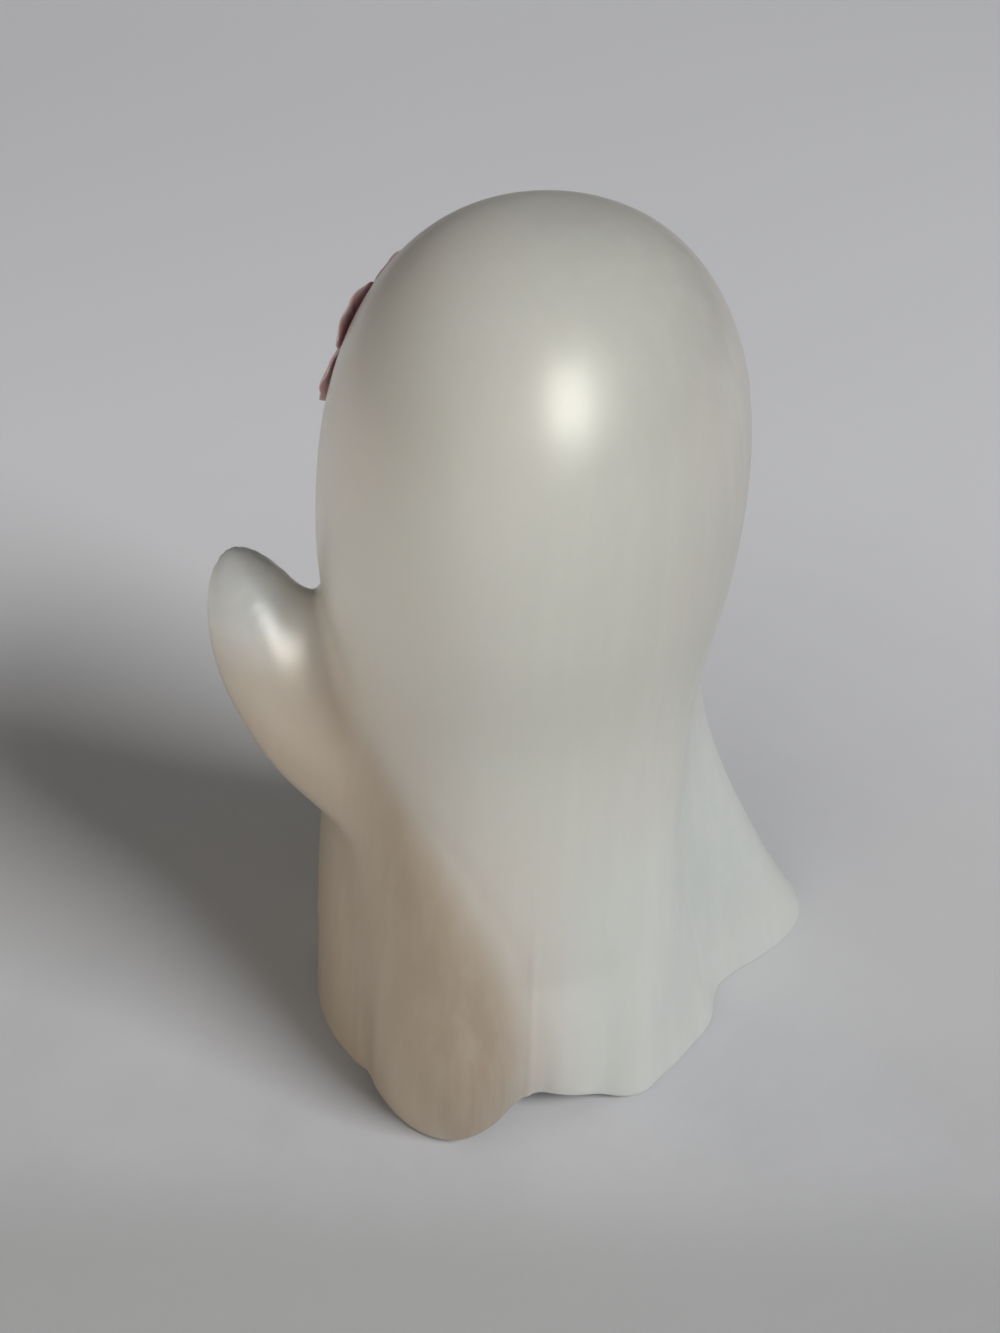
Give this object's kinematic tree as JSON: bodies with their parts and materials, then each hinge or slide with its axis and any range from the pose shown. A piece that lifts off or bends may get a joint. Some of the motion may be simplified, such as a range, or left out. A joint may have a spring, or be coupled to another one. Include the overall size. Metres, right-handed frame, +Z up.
{
  "type": "blow mold ghost figure",
  "caption": "Hollow moulded ghost figure with a raised arm, flared sheet, head flower and twist-in battery light unit.",
  "frame": {"origin": "on the table, under the middle of the whole figure's extent", "axes": "+Z up, -Y the way the face looks, +X towards the raised left arm"},
  "size_m": [0.131, 0.0944, 0.18],
  "materials": {
    "pearl_shell": "pearlescent translucent white, satin, fine moulded grain",
    "petal_rose": "satin",
    "bud_cream": "satin",
    "white_plastic": "moulded, satin",
    "steel": "zinc plated",
    "cell_steel": "polished can",
    "brass": "plated contact strip",
    "board_green": "solder resist",
    "clear_resin": "clear",
    "resistor_glaze": "glazed",
    "black_plastic": "satin",
    "red_cover": "satin wire cover",
    "black_cover": "satin wire cover",
    "white_cover": "satin wire cover",
    "frosted": "frosted translucent"
  },
  "bodies": {
    "figure": {"ghost_shell": "pearl_shell", "flower_petals": "petal_rose", "flower_bud": "bud_cream"},
    "light_unit": {"base_plug": "white_plastic", "button_cell_1": "cell_steel", "button_cell_2": "cell_steel", "button_cell_3": "cell_steel", "contact_plate_positive": "brass", "contact_plate_negative": "brass", "contact_spring": "steel", "circuit_board": "board_green", "circuit_screw_1": "steel", "circuit_screw_2": "steel", "led_lens": "clear_resin", "led_anode": "steel", "led_cathode": "steel", "resistor": "resistor_glaze", "switch_body": "steel", "switch_screw_1": "steel", "switch_screw_2": "steel", "wire_red": "red_cover", "wire_black": "black_cover", "wire_white": "white_cover", "light_diffuser": "frosted"},
    "door": {"battery_door": "white_plastic"},
    "door_screw_left": {"door_screw_1": "steel"},
    "door_screw_right": {"door_screw_2": "steel"},
    "switch_slider": {"switch_knob": "black_plastic"}
  },
  "joints": [
    {"name": "light_unit_twist", "type": "hinge", "parent": "figure", "child": "light_unit", "pos_m": [0.00968, -0.00061, 0.012], "axis": [0, 0, 1], "range_deg": [0, 35]},
    {"name": "battery_door_lift", "type": "slide", "parent": "light_unit", "child": "door", "axis": [0, 0, -1], "range_m": [0, 0.025]},
    {"name": "door_screw_left_turn", "type": "hinge", "parent": "door", "child": "door_screw_left", "pos_m": [-0.00537, -0.00061, 0.012], "axis": [0, 0, 1], "continuous": true},
    {"name": "door_screw_right_turn", "type": "hinge", "parent": "door", "child": "door_screw_right", "pos_m": [0.02473, -0.00061, 0.012], "axis": [0, 0, 1], "continuous": true},
    {"name": "switch_slide", "type": "slide", "parent": "light_unit", "child": "switch_slider", "axis": [1, 0, 0], "range_m": [0, 0.003]}
  ]
}
